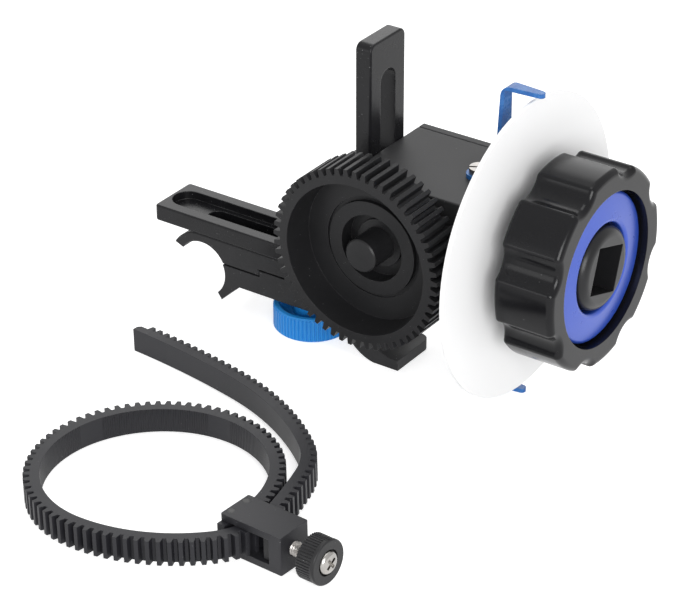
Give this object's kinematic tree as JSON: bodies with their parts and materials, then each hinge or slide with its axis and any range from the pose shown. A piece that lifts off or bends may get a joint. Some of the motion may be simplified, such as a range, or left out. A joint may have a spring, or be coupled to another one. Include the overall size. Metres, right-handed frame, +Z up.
{
  "type": "lens follow focus",
  "caption": "Camera lens follow focus: rod clamp, slotted L bracket, gearbox with focus gear, marking disc and handwheel, plus a strap gear ring for the lens.",
  "frame": {"origin": "on the left rod's axis, at the middle of the clamp's width", "axes": "+X across the rods towards the handwheel, +Y along the rods, from the focus gear's open face towards the gearbox's back, +Z up"},
  "size_m": [0.1307, 0.1549, 0.087],
  "materials": {
    "clamp_black": "satin anodised black",
    "plate_black": "semi-gloss anodised black",
    "box_black": "matte anodised black",
    "gear_black": "moulded, matte",
    "grip_black": "glossy",
    "socket_black": "satin",
    "knob_black": "satin anodised black",
    "block_black": "satin anodised black",
    "shaft_black": "blackened",
    "knob_blue": "satin anodised blue",
    "accent_blue": "satin anodised blue",
    "pointer_blue": "satin anodised blue",
    "disc_white": "matte, can be written on",
    "strap_grey": "moulded dark grey",
    "screw_steel": "plain",
    "shaft_steel": "ground",
    "chrome": "polished",
    "bearing_bronze": "plain bearing bronze",
    "gear_brass": "cut teeth"
  },
  "bodies": {
    "clamp_body": {"upper_jaw": "clamp_black", "clamp_bolt": "screw_steel"},
    "lower_clamp": {"lower_jaw": "clamp_black", "clamp_washer": "screw_steel"},
    "clamp_knob_body": {"clamp_knob": "knob_blue"},
    "bracket": {"l_bracket": "plate_black"},
    "gearbox": {"gearbox_housing": "box_black", "gearbox_cover": "box_black", "cover_screws": "screw_steel", "drive_bearing_front": "bearing_bronze", "drive_bearing_rear": "bearing_bronze", "handwheel_bearing_inner": "bearing_bronze", "handwheel_bearing_outer": "bearing_bronze", "height_stud": "screw_steel", "pointer_upper": "pointer_blue", "pointer_lower": "pointer_blue", "pointer_screws": "chrome"},
    "height_lock": {"height_washer": "screw_steel"},
    "height_lock_knob": {"height_knob": "knob_black"},
    "drive": {"drive_shaft": "shaft_black", "drive_bevel": "gear_brass", "focus_gear": "gear_black", "gear_retaining_ring": "shaft_black"},
    "handwheel": {"handwheel_shaft": "shaft_steel", "handwheel_bevel": "gear_brass", "disc_hub": "clamp_black", "marking_disc": "disc_white", "handwheel_core": "grip_black", "handwheel_grip": "grip_black", "accent_ring": "accent_blue", "crank_socket": "socket_black", "handwheel_screw": "shaft_black"},
    "gear_ring": {"gear_strap": "strap_grey", "strap_block": "block_black", "strap_pins": "shaft_black"},
    "ring_plate": {"strap_plate": "screw_steel"},
    "ring_screw": {"strap_screw": "screw_steel", "strap_knob": "knob_black", "strap_cap": "chrome"}
  },
  "joints": [
    {"name": "lower_jaw_slide", "type": "slide", "parent": "clamp_body", "child": "lower_clamp", "axis": [0, 0, -1], "range_m": [0, 0.002]},
    {"name": "clamp_knob_turn", "type": "hinge", "parent": "lower_clamp", "child": "clamp_knob_body", "pos_m": [0.03, 0, -0.006], "axis": [0, 0, -1], "range_deg": [0, 901]},
    {"name": "bracket_slide", "type": "slide", "parent": "clamp_body", "child": "bracket", "axis": [1, 0, 0], "range_m": [-0.007, 0.03]},
    {"name": "height_slide", "type": "slide", "parent": "bracket", "child": "gearbox", "axis": [0, 0, 1], "range_m": [-0.002, 0.032]},
    {"name": "height_lock_slide", "type": "slide", "parent": "gearbox", "child": "height_lock", "axis": [-1, 0, 0], "range_m": [0, 0.0015]},
    {"name": "height_knob_turn", "type": "hinge", "parent": "height_lock", "child": "height_lock_knob", "pos_m": [0.044, 0, 0.0322], "axis": [-1, 0, 0], "range_deg": [0, 541]},
    {"name": "handwheel_spin", "type": "hinge", "parent": "gearbox", "child": "handwheel", "pos_m": [0.1, 0, 0.0322], "axis": [1, 0, 0], "continuous": true},
    {"name": "drive_spin", "type": "hinge", "parent": "gearbox", "child": "drive", "pos_m": [0.0637, 0, 0.0322], "axis": [0, 1, 0], "continuous": true},
    {"name": "ring_lift", "type": "slide", "parent": "clamp_body", "child": "gear_ring", "axis": [0, 0, 1], "range_m": [0, 0.05]},
    {"name": "strap_plate_slide", "type": "slide", "parent": "gear_ring", "child": "ring_plate", "axis": [-0.9969, 0.075, -0.0254], "range_m": [0, 0.00175]},
    {"name": "strap_screw_turn", "type": "hinge", "parent": "ring_plate", "child": "ring_screw", "pos_m": [0.09378, -0.0929, -0.00486], "axis": [-0.9969, 0.075, -0.0254], "range_deg": [0, 901]}
  ],
  "couplings": [
    {"joint": "clamp_knob_turn", "follows": "lower_jaw_slide", "rad_per_m": 7854},
    {"joint": "height_knob_turn", "follows": "height_lock_slide", "rad_per_m": 6283.2},
    {"joint": "drive_spin", "follows": "handwheel_spin", "ratio": 1},
    {"joint": "strap_screw_turn", "follows": "strap_plate_slide", "rad_per_m": 8975.9}
  ]
}
